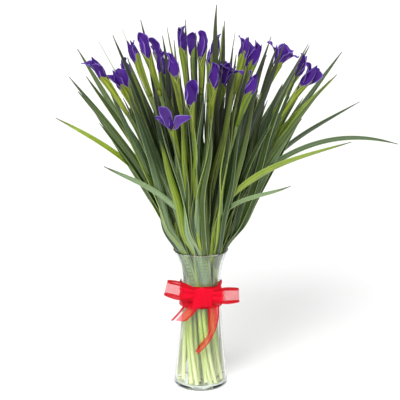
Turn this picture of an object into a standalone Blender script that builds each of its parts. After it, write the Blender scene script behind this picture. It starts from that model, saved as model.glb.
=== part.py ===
"""A bunch of Dutch irises standing in a waisted glass vase of water, tied at the waist with an organza bow.

Metres, +Z up. The origin is the centre of the vase's underside, and the bow faces -Y.
Each stem keeps its own place in the bunch. The places are scaled by spread() and turned by swirl() on the
way up, so the stems are packed tight at the waist, fan out above it and never cross.
"""

import math

import bmesh
import bpy
from mathutils import Matrix, Vector

# vase
VASE_HEIGHT = 0.245
FOOT_RADIUS = 0.047
WAIST_RADIUS = 0.0335
RIM_RADIUS = 0.048
WAIST_HEIGHT = 0.18
FOOT_FLARE = 1.35
RIM_FLARE = 2.2
GLASS = 0.0025
FLOOR = 0.009
TURN_STEPS = 36

# water
WATER_TOP = 0.160
GAP = 0.0003
BORE_GAP = 0.00045

# bunch
STEM_RADIUS = 0.0032
STEM_FOOT = 0.0125
STALK_HEIGHTS = (STEM_FOOT, 0.06, 0.115, 0.17, 0.21, 0.255, 0.31, 0.37)
BUNCH_WAIST = 0.026
BUNCH_WAIST_HEIGHT = 0.17
BUNCH_FOOT_GROWTH = 0.012
FAN = 0.86
FAN_POWER = 1.75
SWIRL = math.radians(50)
SWIRL_END = 0.30

# spathe, the swollen green sheath under each bloom
SPATHE_LENGTH = 0.055
SPATHE_RADIUS = 0.0058

# leaf blade
LEAF_THICKNESS = 0.0011
LEAF_RINGS = 12
LEAF_ROOT_WIDTH = 0.004
LEAF_TWIST = math.radians(65)

# bloom: a spindle that is widest below its middle, as (share of length, share of radius) rings
BUD_SIDES = 8
BUD_RINGS = ((0, 0.55), (0.18, 0.92), (0.42, 1.0), (0.7, 0.72), (0.9, 0.32), (1, 0.08))
BLOOM_GAP = 0.0006

# petals, each as (outward, up, half width) points from the bloom's base
PETAL_THICKNESS = 0.0014
FALL = (
    (0.001, 0.004, 0.003), (0.010, 0.022, 0.005), (0.021, 0.034, 0.007),
    (0.032, 0.034, 0.012), (0.041, 0.026, 0.011), (0.046, 0.016, 0.004),
)
STANDARD = ((0.001, 0.004, 0.003), (0.007, 0.024, 0.006), (0.012, 0.044, 0.009), (0.016, 0.062, 0.004))
LOOSE_FALL = ((0.001, 0.004, 0.003), (0.010, 0.022, 0.007), (0.018, 0.036, 0.009), (0.027, 0.046, 0.003))

# For each stage: the core's length and radius, then each petal's shape and its turn in degrees.
STAGES = {
    "bud": (0.046, 0.0078, ()),
    "opening": (0.046, 0.0085, ((LOOSE_FALL, 0), (LOOSE_FALL, 125))),
    "open": (0.034, 0.0065, (
        (FALL, 0), (FALL, 120), (FALL, 240), (STANDARD, 60), (STANDARD, 180), (STANDARD, 300),
    )),
}

# bow: the band lies round the waist, and the knot, loops and tails stand in front of it
RIBBON = 0.0010
RIBBON_WIDTH = 0.025
BAND_BOTTOM = 0.150
BAND_TOP = 0.190
KNOT_CENTRE = (0.004, -0.0418, 0.168)
KNOT_HALF = (0.0115, 0.0060, 0.0150)
BOW_DEPTH = -0.0405
LOOP_STEPS = 24
TAIL_RINGS = 7

# Each loop: its inner and outer end, both (x, z) at mid height, and its half depth.
LOOPS = {
    "ribbon_loop_left": ((-0.009, 0.176), (-0.060, 0.187), 0.0085),
    "ribbon_loop_right": ((0.017, 0.172), (0.066, 0.1735), 0.0046),
}

# Each tail: four points down its middle, and its width at each.
TAILS = {
    "ribbon_tail_left": (
        ((-0.0155, -0.0405, 0.152), (-0.024, -0.043, 0.146), (-0.031, -0.046, 0.137), (-0.038, -0.047, 0.13)),
        (0.024, 0.025, 0.025, 0.024),
    ),
    "ribbon_tail_right": (
        ((0.0225, -0.0395, 0.1485), (0.0245, -0.044, 0.120), (0.018, -0.047, 0.092), (-0.007, -0.051, 0.073)),
        (0.019, 0.018, 0.015, 0.002),
    ),
}

PURPLE = (0.075, 0.018, 0.27)
LEAF_GREEN = (0.10, 0.22, 0.07)
RIBBON_RED = (0.80, 0.01, 0.03)

# Each iris: where its stem ends and its bloom starts, the bloom's stage and turn in degrees, and its
# leaves. A leaf is the height where it leaves the stem, where its tip is, how far the tip droops in
# degrees, and its width.
IRISES = (
    ((-0.153, -0.100, 0.555), "opening", 200, (
        (0.245, (-0.235, -0.085, 0.490), 15, 0.014),
        (0.300, (-0.195, -0.120, 0.540), 5, 0.013),
    )),
    ((-0.122, -0.030, 0.519), "opening", 150, (
        (0.250, (-0.215, -0.045, 0.550), 5, 0.014),
        (0.330, (-0.190, -0.010, 0.545), 0, 0.012),
    )),
    ((-0.118, 0.105, 0.515), "bud", 0, (
        (0.260, (-0.215, 0.125, 0.570), 0, 0.014),
        (0.340, (-0.180, 0.170, 0.575), 0, 0.012),
    )),
    ((-0.105, 0.065, 0.550), "bud", 40, (
        (0.300, (-0.150, 0.080, 0.600), 0, 0.013),
    )),
    ((-0.084, -0.055, 0.580), "bud", 90, (
        (0.290, (-0.140, -0.090, 0.625), 0, 0.013),
    )),
    ((-0.072, 0.160, 0.541), "opening", 270, (
        (0.270, (-0.140, 0.195, 0.595), 0, 0.013),
    )),
    ((-0.060, 0.010, 0.539), "bud", 20, (
        (0.300, (-0.100, 0.020, 0.635), 0, 0.012),
    )),
    ((-0.041, -0.100, 0.560), "bud", 120, (
        (0.270, (-0.060, -0.150, 0.560), 5, 0.014),
    )),
    ((-0.030, 0.070, 0.570), "bud", 60, (
        (0.300, (-0.026, 0.090, 0.625), 0, 0.013),
    )),
    ((-0.012, 0.140, 0.550), "bud", 10, (
        (0.280, (-0.060, 0.190, 0.600), 0, 0.014),
    )),
    ((0.002, -0.040, 0.579), "bud", 30, (
        (0.330, (0.026, -0.020, 0.665), 0, 0.013),
    )),
    ((0.017, 0.165, 0.524), "bud", 80, (
        (0.270, (0.040, 0.195, 0.600), 0, 0.014),
    )),
    ((0.023, 0.100, 0.555), "bud", 100, (
        (0.310, (0.060, 0.120, 0.600), 0, 0.013),
    )),
    ((0.036, 0.010, 0.518), "open", 255, (
        (0.300, (0.040, 0.040, 0.630), 0, 0.012),
    )),
    ((0.069, 0.065, 0.555), "opening", 300, (
        (0.310, (0.120, 0.070, 0.600), 0, 0.013),
    )),
    ((0.074, 0.110, 0.521), "opening", 330, (
        (0.270, (0.190, 0.130, 0.575), 0, 0.014),
    )),
    ((0.082, -0.045, 0.565), "bud", 10, (
        (0.290, (0.135, -0.070, 0.610), 0, 0.013),
    )),
    ((0.122, 0.000, 0.551), "open", 350, (
        (0.300, (0.225, -0.020, 0.550), 5, 0.014),
        (0.350, (0.180, 0.020, 0.595), 0, 0.012),
    )),
    ((0.157, 0.050, 0.530), "opening", 0, (
        (0.245, (0.275, 0.080, 0.485), 5, 0.014),
        (0.310, (0.240, 0.060, 0.575), 0, 0.012),
    )),
    ((0.165, -0.030, 0.529), "opening", 340, (
        (0.240, (0.325, -0.055, 0.440), 45, 0.016),
        (0.300, (0.210, -0.050, 0.545), 5, 0.012),
    )),
    ((0.074, -0.115, 0.530), "bud", 60, (
        (0.268, (0.240, -0.130, 0.460), 20, 0.014),
        (0.235, (0.145, -0.120, 0.385), 20, 0.012),
    )),
    ((-0.015, -0.160, 0.526), "bud", 0, (
        (0.260, (0.020, -0.190, 0.520), 5, 0.014),
    )),
    ((0.020, -0.090, 0.538), "bud", 50, (
        (0.280, (0.055, -0.130, 0.570), 0, 0.013),
    )),
    ((-0.046, -0.128, 0.480), "open", 250, (
        (0.235, (-0.155, -0.130, 0.420), 15, 0.013),
    )),
)


def clear_scene():
    for item in list(bpy.data.objects):
        bpy.data.objects.remove(item, do_unlink=True)


def collection(name):
    group = bpy.data.collections.new(name)
    bpy.context.scene.collection.children.link(group)
    return group


def material(name, colour, roughness, metallic=0.0, alpha=1.0):
    result = bpy.data.materials.new(name)
    result.use_nodes = True
    shader = result.node_tree.nodes["Principled BSDF"]
    shader.inputs["Base Color"].default_value = (*colour, 1.0)
    shader.inputs["Roughness"].default_value = roughness
    shader.inputs["Metallic"].default_value = metallic
    shader.inputs["Alpha"].default_value = alpha
    return result


def add_object(name, data, group, finish=None):
    item = bpy.data.objects.new(name, data)
    group.objects.link(item)
    if finish is not None:
        data.materials.append(finish)
    return item


def add_cutter(name, data, group):
    item = add_object(name, data, group)
    item.hide_render = True
    item.display_type = "WIRE"
    return item


def vase_radius(z):
    """The glass's outer radius: least at the waist, flaring by a power law to the foot and to the rim."""
    if z < WAIST_HEIGHT:
        share = (WAIST_HEIGHT - z) / WAIST_HEIGHT
        return WAIST_RADIUS + (FOOT_RADIUS - WAIST_RADIUS) * share**FOOT_FLARE
    share = (z - WAIST_HEIGHT) / (VASE_HEIGHT - WAIST_HEIGHT)
    return WAIST_RADIUS + (RIM_RADIUS - WAIST_RADIUS) * share**RIM_FLARE


def spread(z):
    """How far the outermost stem is from the axis at a height."""
    if z < BUNCH_WAIST_HEIGHT:
        share = (BUNCH_WAIST_HEIGHT - z) / BUNCH_WAIST_HEIGHT
        return BUNCH_WAIST + BUNCH_FOOT_GROWTH * share**1.5
    return BUNCH_WAIST + FAN * (z - BUNCH_WAIST_HEIGHT) ** FAN_POWER


def swirl(z):
    """The turn of the whole bunch about the axis at a height."""
    return SWIRL * max(0.0, 1 - z / SWIRL_END) ** 2


def stem_point(head, z):
    """Where the stem that ends at head is at height z."""
    scale = spread(z) / spread(head[2])
    place = Vector((head[0] * scale, head[1] * scale, z))
    place.rotate(Matrix.Rotation(swirl(z) - swirl(head[2]), 3, "Z"))
    return place


def stem_direction(head, z):
    return (stem_point(head, z + 0.001) - stem_point(head, z - 0.001)).normalized()


def steps(first, last, count):
    return [first + (last - first) * i / (count - 1) for i in range(count)]


def turned(name, profile, group, finish, ring=False):
    """A profile of (radius, height) points, run down the outer side, turned about Z; closed for a ring."""
    mesh = bpy.data.meshes.new(name)
    points = [(radius, 0, z) for radius, z in profile]
    count = len(points)
    edges = [(i, (i + 1) % count) for i in range(count if ring else count - 1)]
    mesh.from_pydata(points, edges, [])
    item = add_object(name, mesh, group, finish)
    screw = item.modifiers.new("turn", "SCREW")
    screw.steps = TURN_STEPS
    screw.render_steps = TURN_STEPS
    screw.use_merge_vertices = True
    screw.merge_threshold = 0.00001
    return item


def loft(name, rings):
    """A closed mesh through rings of points that all have the same count, with its faces outward."""
    shape = bmesh.new()
    loops = [[shape.verts.new(point) for point in ring] for ring in rings]
    count = len(rings[0])
    for low, high in zip(loops, loops[1:]):
        for i in range(count):
            j = (i + 1) % count
            shape.faces.new((low[i], low[j], high[j], high[i]))
    shape.faces.new(loops[0][::-1])
    shape.faces.new(loops[-1])
    bmesh.ops.recalc_face_normals(shape, faces=shape.faces)
    mesh = bpy.data.meshes.new(name)
    shape.to_mesh(mesh)
    shape.free()
    return mesh


def tube(name, points, radii):
    """A round bar along points, as a welded mesh made from a bevelled curve."""
    curve = bpy.data.curves.new(name, "CURVE")
    curve.dimensions = "3D"
    curve.bevel_depth = 1.0
    curve.bevel_resolution = 1
    curve.use_fill_caps = True
    spline = curve.splines.new("POLY")
    spline.points.add(len(points) - 1)
    for place, point, radius in zip(spline.points, points, radii):
        place.co = (*point, 1.0)
        place.radius = radius
    item = bpy.data.objects.new(name, curve)
    bpy.context.scene.collection.objects.link(item)
    evaluated = item.evaluated_get(bpy.context.evaluated_depsgraph_get())
    mesh = bpy.data.meshes.new_from_object(evaluated)
    bpy.data.objects.remove(item, do_unlink=True)
    shape = bmesh.new()
    shape.from_mesh(mesh)
    bmesh.ops.remove_doubles(shape, verts=shape.verts, dist=0.000001)
    shape.to_mesh(mesh)
    shape.free()
    return mesh


def join(item, operands):
    """Adds the operands' solids to the item's."""
    for operand in operands:
        union = item.modifiers.new("join " + operand.name, "BOOLEAN")
        union.operation = "UNION"
        union.solver = "EXACT"
        union.object = operand


def bezier(ends, t):
    a, b, c, d = ends
    s = 1 - t
    return a * s**3 + b * (3 * s * s * t) + c * (3 * s * t * t) + d * t**3


def bezier_direction(ends, t):
    return (bezier(ends, min(1, t + 0.01)) - bezier(ends, max(0, t - 0.01))).normalized()


def leaf_frames(head, leaf, twist):
    """Points up the middle of a blade, each with the direction of its width and its half width."""
    leave, tip, droop, width = leaf
    start = stem_point(head, leave)
    tip = Vector(tip)
    length = (tip - start).length
    outward = Vector((tip.x, tip.y, 0)).normalized()
    end = (tip - start).normalized()
    side = end.cross(outward)
    if side.length > 0.001:
        end.rotate(Matrix.Rotation(math.radians(droop), 3, side.normalized()))
    ends = (start, start + stem_direction(head, leave) * 0.42 * length, tip - end * 0.34 * length, tip)
    frames = []
    for t in steps(0, 1, LEAF_RINGS):
        centre = bezier(ends, t)
        along = bezier_direction(ends, t)
        across = along.cross(outward).normalized()
        across.rotate(Matrix.Rotation(twist * t, 3, along))
        opening = min(1.0, t / 0.25)
        half = 0.5 * (LEAF_ROOT_WIDTH + (width - LEAF_ROOT_WIDTH) * opening) * (1 - t**2.6) ** 0.8
        frames.append((centre, along, across, max(half, 0.0008)))
    return frames


def leaf_mesh(name, head, leaf, twist):
    """A blade with a flat diamond section."""
    rings = []
    for centre, along, across, half in leaf_frames(head, leaf, twist):
        face = across.cross(along).normalized()
        thick = face * min(LEAF_THICKNESS / 2, half)
        rings.append([centre + across * half, centre + thick, centre - across * half, centre - thick])
    return loft(name, rings)


def stem_profile(head):
    """Heights up a stem with the radius at each: an even stalk, then the spathe's swelling."""
    top = head[2]
    stalk = [(z, STEM_RADIUS) for z in STALK_HEIGHTS + (top - 1.45 * SPATHE_LENGTH,)]
    spathe = [(top - SPATHE_LENGTH, 1.15 * STEM_RADIUS), (top - SPATHE_LENGTH / 2, SPATHE_RADIUS)]
    return stalk + spathe + [(top, 0.8 * SPATHE_RADIUS)]


def build_stems(group, cutters, finish):
    for number, (head, _, _, leaves) in enumerate(IRISES, 1):
        rings = stem_profile(head)
        points = [stem_point(head, z) for z, _ in rings]
        mesh = tube(f"iris_{number:02d}_stem", points, [radius for _, radius in rings])
        stem = add_object(f"iris_{number:02d}_stem", mesh, group, finish)
        blades = []
        for letter, leaf, turn in zip("ab", leaves, (1, -1)):
            name = f"blade_{number:02d}_{letter}"
            twist = turn * (-1) ** number * LEAF_TWIST
            blades.append(add_cutter(name, leaf_mesh(name, head, leaf, twist), cutters))
        join(stem, blades)


def bud_mesh(name, length, radius):
    """A furled bud, its base at the origin and its tip up."""
    rings = []
    for share, width in BUD_RINGS:
        ring = []
        for i in range(BUD_SIDES):
            angle = math.tau * i / BUD_SIDES
            reach = radius * width
            ring.append(Vector((reach * math.cos(angle), reach * math.sin(angle), length * share)))
        rings.append(ring)
    return loft(name, rings)


def petal_mesh(name, path, angle):
    """A petal with a flat diamond section along (out, up, half width) points, turned about Z."""
    turn = Matrix.Rotation(angle, 3, "Z")
    rings = []
    for i, (out, up, half) in enumerate(path):
        before = path[max(0, i - 1)]
        after = path[min(len(path) - 1, i + 1)]
        along = Vector((after[0] - before[0], 0, after[1] - before[1])).normalized()
        thick = Vector((-along.z, 0, along.x)) * PETAL_THICKNESS / 2
        centre = Vector((out, 0, up))
        wide = Vector((0, half, 0))
        section = (centre + wide, centre + thick, centre - wide, centre - thick)
        rings.append([turn @ point for point in section])
    return loft(name, rings)


def build_blooms(group, cutters, finish):
    petals = {}
    for stage, (_, _, paths) in STAGES.items():
        petals[stage] = [petal_mesh("petal_" + stage, path, math.radians(turn)) for path, turn in paths]
    for number, (head, stage, degrees, _) in enumerate(IRISES, 1):
        length, radius, _ = STAGES[stage]
        name = f"iris_{number:02d}_bloom"
        bloom = add_object(name, bud_mesh(name, length, radius), group, finish)
        direction = stem_direction(head, head[2])
        place = stem_point(head, head[2]) + direction * BLOOM_GAP
        turn = Matrix.Rotation(math.radians(degrees), 4, "Z")
        lean = direction.to_track_quat("Z", "Y").to_matrix().to_4x4()
        bloom.matrix_world = Matrix.Translation(place) @ lean @ turn
        parts = []
        for i, mesh in enumerate(petals[stage]):
            part = add_cutter(f"petal_{number:02d}_{i}", mesh, cutters)
            part.matrix_world = bloom.matrix_world
            parts.append(part)
        join(bloom, parts)


def build_vase(group, finish):
    outer = [(vase_radius(z), z) for z in steps(VASE_HEIGHT, 0.0, 13)]
    inner = [(vase_radius(z) - GLASS, z) for z in steps(FLOOR, VASE_HEIGHT, 12)]
    turned("vase", [(0, FLOOR)] + inner + outer + [(0, 0)], group, finish)


def build_water(group, cutters, finish):
    side = [(vase_radius(z) - GLASS - 2 * GAP, z) for z in steps(WATER_TOP, FLOOR + GAP, 8)]
    water = turned("water", [(0, WATER_TOP)] + side + [(0, FLOOR + GAP)], group, finish)
    bores = bpy.data.collections.new("bores")
    cutters.children.link(bores)
    for number, (head, _, _, _) in enumerate(IRISES, 1):
        rings = [z for z, _ in stem_profile(head) if z < WATER_TOP]
        heights = [STEM_FOOT - BORE_GAP] + rings[1:] + [STALK_HEIGHTS[3]]
        points = [stem_point(head, z) for z in heights]
        name = f"bore_{number:02d}"
        add_cutter(name, tube(name, points, [STEM_RADIUS + BORE_GAP] * len(points)), bores)
    cut = water.modifiers.new("stem bores", "BOOLEAN")
    cut.operation = "DIFFERENCE"
    cut.solver = "EXACT"
    cut.operand_type = "COLLECTION"
    cut.collection = bores


def build_band(group, finish):
    outer = [(vase_radius(z) + GAP + RIBBON, z) for z in steps(BAND_TOP, BAND_BOTTOM, 4)]
    inner = [(vase_radius(z) + GAP, z) for z in steps(BAND_BOTTOM, BAND_TOP, 4)]
    turned("ribbon_band", outer + inner, group, finish, ring=True)


def build_knot(group, finish):
    shape = bmesh.new()
    bmesh.ops.create_uvsphere(shape, u_segments=12, v_segments=8, radius=1.0)
    bmesh.ops.scale(shape, vec=KNOT_HALF, verts=shape.verts)
    mesh = bpy.data.meshes.new("ribbon_knot")
    shape.to_mesh(mesh)
    shape.free()
    knot = add_object("ribbon_knot", mesh, group, finish)
    knot.location = KNOT_CENTRE


def build_loop(name, group, finish):
    """A strip bent into a long oval with its ends at the knot, open above and below."""
    inner, outer, half_depth = LOOPS[name]
    shape = bmesh.new()
    edges = []
    for i in range(LOOP_STEPS):
        angle = math.tau * i / LOOP_STEPS
        share = (1 - math.cos(angle)) / 2
        x = inner[0] + (outer[0] - inner[0]) * share
        z = inner[1] + (outer[1] - inner[1]) * share
        y = BOW_DEPTH - half_depth * math.sin(angle) * (0.55 + 0.45 * share)
        edges.append([shape.verts.new((x, y, z + side * RIBBON_WIDTH / 2)) for side in (-1, 1)])
    for i, (low, high) in enumerate(edges):
        next_low, next_high = edges[(i + 1) % LOOP_STEPS]
        shape.faces.new((low, next_low, next_high, high))
    bmesh.ops.recalc_face_normals(shape, faces=shape.faces)
    mesh = bpy.data.meshes.new(name)
    shape.to_mesh(mesh)
    shape.free()
    loop = add_object(name, mesh, group, finish)
    shell = loop.modifiers.new("ribbon", "SOLIDIFY")
    shell.thickness = RIBBON
    shell.offset = 0


def build_tail(name, group, finish):
    """A hanging end of ribbon, its faces to the front and back."""
    points, widths = TAILS[name]
    points = [Vector(point) for point in points]
    rings = []
    for t in steps(0, 1, TAIL_RINGS):
        centre = bezier(points, t)
        along = bezier_direction(points, t)
        across = along.cross(Vector((0, 1, 0))).normalized() * bezier(widths, t) / 2
        thick = across.cross(along).normalized() * RIBBON / 2
        front = [centre - across - thick, centre + across - thick]
        back = [centre + across + thick, centre - across + thick]
        rings.append(front + back)
    add_object(name, loft(name, rings), group, finish)


def main():
    clear_scene()
    parts = collection("irises_in_vase")
    cutters = collection("cutters")
    build_vase(parts, material("clear glass", (0.9, 0.95, 0.95), 0.05, alpha=0.35))
    build_water(parts, cutters, material("water", (0.8, 0.9, 0.9), 0.02, alpha=0.35))
    build_stems(parts, cutters, material("leaf green", LEAF_GREEN, 0.5))
    build_blooms(parts, cutters, material("iris purple", PURPLE, 0.6))
    ribbon = material("ribbon red", RIBBON_RED, 0.5)
    build_band(parts, ribbon)
    build_knot(parts, ribbon)
    for name in LOOPS:
        build_loop(name, parts, ribbon)
    for name in TAILS:
        build_tail(name, parts, ribbon)


main()
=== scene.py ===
"""A bunch of Dutch irises in a waisted glass vase of water, with a red organza bow round the waist.

Every shape is a numpy surface of two parameters: u across it, from -1 to 1 or once round, and v along it,
from 0 to 1. Each stem keeps its own place in the bunch. The places are scaled by spread() and turned by
swirl() on the way up, as in the model that this one stands in.
"""

import math

import bpy
import numpy as np
from mathutils import Matrix, Vector


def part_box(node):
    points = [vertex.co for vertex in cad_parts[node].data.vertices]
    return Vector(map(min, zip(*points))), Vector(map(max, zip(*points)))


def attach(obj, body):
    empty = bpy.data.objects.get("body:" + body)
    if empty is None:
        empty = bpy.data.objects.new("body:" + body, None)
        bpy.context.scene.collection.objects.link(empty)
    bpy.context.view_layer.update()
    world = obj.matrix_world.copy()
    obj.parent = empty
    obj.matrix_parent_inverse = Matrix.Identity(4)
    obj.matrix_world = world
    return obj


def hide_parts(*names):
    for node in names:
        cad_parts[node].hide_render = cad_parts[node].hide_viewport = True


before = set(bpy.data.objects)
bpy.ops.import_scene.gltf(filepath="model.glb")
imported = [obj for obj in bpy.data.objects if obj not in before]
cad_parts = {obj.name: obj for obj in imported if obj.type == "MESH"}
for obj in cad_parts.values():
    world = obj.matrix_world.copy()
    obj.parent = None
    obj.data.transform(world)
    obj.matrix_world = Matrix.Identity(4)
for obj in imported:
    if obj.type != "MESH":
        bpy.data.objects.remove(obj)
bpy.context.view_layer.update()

# vase
VASE_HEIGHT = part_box("vase")[1][2]
FOOT_RADIUS = 0.047
WAIST_RADIUS = 0.0335
RIM_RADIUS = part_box("vase")[1][0]
WAIST_HEIGHT = 0.18
FOOT_FLARE = 1.35
RIM_FLARE = 2.2
GLASS = 0.0025
FLOOR = 0.0055
FOOT_ROUND = 0.003
INNER_ROUND = 0.004
WATER_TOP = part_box("water")[1][2]
WATER_GAP = 0.0004

# bunch
STEM_RADIUS = 0.0032
STEM_FOOT = 0.0090
BUNCH_WAIST = 0.026
BUNCH_WAIST_HEIGHT = 0.17
BUNCH_FOOT_GROWTH = 0.012
FAN = 0.86
FAN_POWER = 1.75
SWIRL = math.radians(50)
SWIRL_END = 0.30

# leaf
SHEATH_GAP = 0.0006
LEAF_SWIRL = math.radians(26)
LEAF_SWIRL_LOW = 0.165
LEAF_SWIRL_HIGH = 0.300
LEAF_SKIN = 0.0006
LEAF_ROWS = 60
LEAF_COLUMNS = 9
LEAF_LEAST_HALF = 0.0006
LEAF_TWIST = math.radians(62)
LEAF_WALL_GAP = 0.0006
MIDRIB_WALL_GAP = 0.0035
WAIST_FILL = 0.14
FILLER_SIDES = (-1, 1, 0, -0.5, 0.5, -0.8, 0.8)

# spathe and petal
PAPER_SKIN = 0.0004

# random draws
LEAF_SEED = 400
SPATHE_SEED = 900
BLOOM_SEED = 1300

# ribbon
RIBBON_WIDTH = 0.025
BAND_START = math.radians(85)
BAND_TURNS = 2
BAND_HEIGHT = 0.1585
BAND_CLIMB = 0.0145
BAND_CORNER = math.radians(332)
CORNER_RISE = 0.0105
KNOT_CENTRE = (0.004, -0.0415, 0.1685)
KNOT_HALF_HEIGHT = 0.0178
KNOT_HALF_DEPTH = 0.0040
KNOT_HALF_WIDTH = 0.0205
BOW_DEPTH = -0.0405
LOOP_WIDTH = 0.026

# studio
GROUND_SIDE = 9
GROUND_NEAR = -6
GROUND_FAR = 12
GROUND_LINES = 19
SKY_LIGHT = 0.20
CAMERA_PLACE = (-0.0012, -2.4, 0.96)
CAMERA_TILT = math.radians(90 - 14.7)
CAMERA_LENS = 131.1

# Each iris: where its stem ends and its bloom starts, the bloom's stage and turn in degrees, and its long
# leaves. The stages are bud, opening, open and wedge, which bloom() describes. A leaf is the height where
# it leaves the stem, where its tip is, how far the tip droops in degrees, and its width.
IRISES = (
    ((-0.153, -0.100, 0.555), "opening", 200, (
        (0.310, (-0.235, -0.085, 0.490), 12, 0.011),
        (0.300, (-0.195, -0.120, 0.540), 5, 0.013),
    )),
    ((-0.122, -0.030, 0.519), "opening", 150, (
        (0.250, (-0.215, -0.045, 0.550), 5, 0.014),
        (0.330, (-0.190, -0.010, 0.545), 0, 0.012),
    )),
    ((-0.118, 0.105, 0.515), "bud", 0, (
        (0.260, (-0.215, 0.125, 0.570), 0, 0.014),
        (0.340, (-0.180, 0.170, 0.575), 0, 0.012),
    )),
    ((-0.105, 0.065, 0.550), "bud", 40, (
        (0.300, (-0.150, 0.080, 0.600), 0, 0.013),
    )),
    ((-0.084, -0.055, 0.580), "bud", 90, (
        (0.290, (-0.140, -0.090, 0.625), 0, 0.013),
    )),
    ((-0.072, 0.160, 0.541), "opening", 270, (
        (0.270, (-0.140, 0.195, 0.595), 0, 0.013),
    )),
    ((-0.060, 0.010, 0.539), "bud", 20, (
        (0.300, (-0.100, 0.020, 0.635), 0, 0.012),
    )),
    ((-0.041, -0.100, 0.560), "bud", 120, (
        (0.270, (-0.060, -0.150, 0.560), 5, 0.014),
    )),
    ((-0.030, 0.070, 0.570), "bud", 60, (
        (0.300, (-0.026, 0.090, 0.625), 0, 0.013),
    )),
    ((-0.012, 0.140, 0.550), "bud", 10, (
        (0.280, (-0.060, 0.190, 0.600), 0, 0.014),
    )),
    ((0.002, -0.040, 0.579), "bud", 30, (
        (0.330, (0.026, -0.020, 0.665), 0, 0.013),
    )),
    ((0.017, 0.165, 0.524), "bud", 80, (
        (0.270, (0.040, 0.195, 0.600), 0, 0.014),
    )),
    ((0.023, 0.100, 0.555), "bud", 100, (
        (0.310, (0.060, 0.120, 0.600), 0, 0.013),
    )),
    ((0.036, 0.010, 0.518), "open", 255, (
        (0.300, (0.040, 0.040, 0.630), 0, 0.012),
    )),
    ((0.069, 0.065, 0.555), "opening", 300, (
        (0.310, (0.120, 0.070, 0.600), 0, 0.013),
    )),
    ((0.074, 0.110, 0.521), "opening", 330, (
        (0.270, (0.190, 0.130, 0.575), 0, 0.014),
    )),
    ((0.082, -0.045, 0.565), "bud", 10, (
        (0.290, (0.135, -0.070, 0.610), 0, 0.013),
    )),
    ((0.122, 0.000, 0.551), "open", 350, (
        (0.300, (0.225, -0.020, 0.550), 5, 0.014),
        (0.350, (0.180, 0.020, 0.595), 0, 0.012),
    )),
    ((0.157, 0.050, 0.530), "opening", 0, (
        (0.290, (0.275, 0.080, 0.485), 14, 0.012),
        (0.310, (0.240, 0.060, 0.575), 0, 0.012),
    )),
    ((0.165, -0.030, 0.529), "opening", 340, (
        (0.335, (0.325, -0.055, 0.440), 36, 0.011),
        (0.300, (0.210, -0.050, 0.545), 5, 0.012),
    )),
    ((0.074, -0.115, 0.530), "bud", 60, (
        (0.300, (0.240, -0.130, 0.460), 12, 0.012),
        (0.290, (0.145, -0.120, 0.385), 4, 0.009),
    )),
    ((-0.015, -0.160, 0.526), "bud", 0, (
        (0.260, (0.020, -0.190, 0.520), 5, 0.014),
    )),
    ((0.020, -0.090, 0.538), "bud", 50, (
        (0.280, (0.055, -0.130, 0.570), 0, 0.013),
    )),
    ((-0.046, -0.128, 0.480), "wedge", 20, (
        (0.290, (-0.155, -0.130, 0.420), 8, 0.010),
    )),
)


# ---------------------------------------------------------------- numbers

def unit(v):
    """Each row made one long."""
    return v / np.maximum(np.linalg.norm(v, axis=-1, keepdims=True), 1e-12)


def ease(x, low=0.0, high=1.0):
    """0 below low, 1 above high and 3t^2 - 2t^3 between."""
    t = np.clip((np.asarray(x, float) - low) / (high - low), 0, 1)
    return t * t * (3 - 2 * t)


def turned(points, axis, angle):
    """Rodrigues' formula: p cos a + (k x p) sin a + k (k . p)(1 - cos a), row by row."""
    angle = np.asarray(angle, float)[..., None]
    along = np.sum(axis * points, axis=-1, keepdims=True) * axis
    return points * np.cos(angle) + np.cross(axis, points) * np.sin(angle) + along * (1 - np.cos(angle))


def direction_of(path):
    """The unit tangent at each point of a path."""
    return unit(np.gradient(path, axis=0))


def resampled(path, count):
    """count points at even distances along a path."""
    steps = np.linalg.norm(np.diff(path, axis=0), axis=1)
    far = np.concatenate([[0], np.cumsum(steps)])
    at = np.linspace(0, far[-1], count)
    return np.stack([np.interp(at, far, path[:, i]) for i in range(3)], axis=1)


def bezier(a, b, c, d, t):
    """The cubic with ends a and d and handles b and c."""
    t = t[:, None]
    s = 1 - t
    return a * s**3 + 3 * b * s * s * t + 3 * c * s * t * t + d * t**3


# ---------------------------------------------------------------- the bunch's plan

def vase_radius(z):
    """The glass's outer radius: least at the waist, flaring by a power law to the foot and to the rim."""
    z = np.asarray(z, float)
    below = np.clip((WAIST_HEIGHT - z) / WAIST_HEIGHT, 0, 1)
    above = np.clip((z - WAIST_HEIGHT) / (VASE_HEIGHT - WAIST_HEIGHT), 0, 1)
    foot = (FOOT_RADIUS - WAIST_RADIUS) * below**FOOT_FLARE
    return WAIST_RADIUS + foot + (RIM_RADIUS - WAIST_RADIUS) * above**RIM_FLARE


def spread(z):
    """How far the outermost stem is from the axis at a height."""
    z = np.asarray(z, float)
    below = np.clip((BUNCH_WAIST_HEIGHT - z) / BUNCH_WAIST_HEIGHT, 0, 1)
    above = np.clip(z - BUNCH_WAIST_HEIGHT, 0, 1)
    return BUNCH_WAIST + BUNCH_FOOT_GROWTH * below**1.5 + FAN * above**FAN_POWER


def swirl(z):
    """The turn of the whole bunch about the axis at a height."""
    return SWIRL * np.clip(1 - np.asarray(z, float) / SWIRL_END, 0, 1) ** 2


def stem_path(head, z):
    """Where the stem that ends at head is at each height: its place scaled by spread and turned by swirl."""
    z = np.atleast_1d(np.asarray(z, float))
    scale = spread(z) / spread(head[2])
    turn = swirl(z) - swirl(head[2])
    x = scale * (head[0] * np.cos(turn) - head[1] * np.sin(turn))
    y = scale * (head[0] * np.sin(turn) + head[1] * np.cos(turn))
    return np.stack([x, y, z], axis=1)


def stem_direction(head, z):
    """The unit direction of that stem at one height."""
    low, high = stem_path(head, [z - 0.001, z + 0.001])
    return unit(high - low)


# ---------------------------------------------------------------- mesh making

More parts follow.
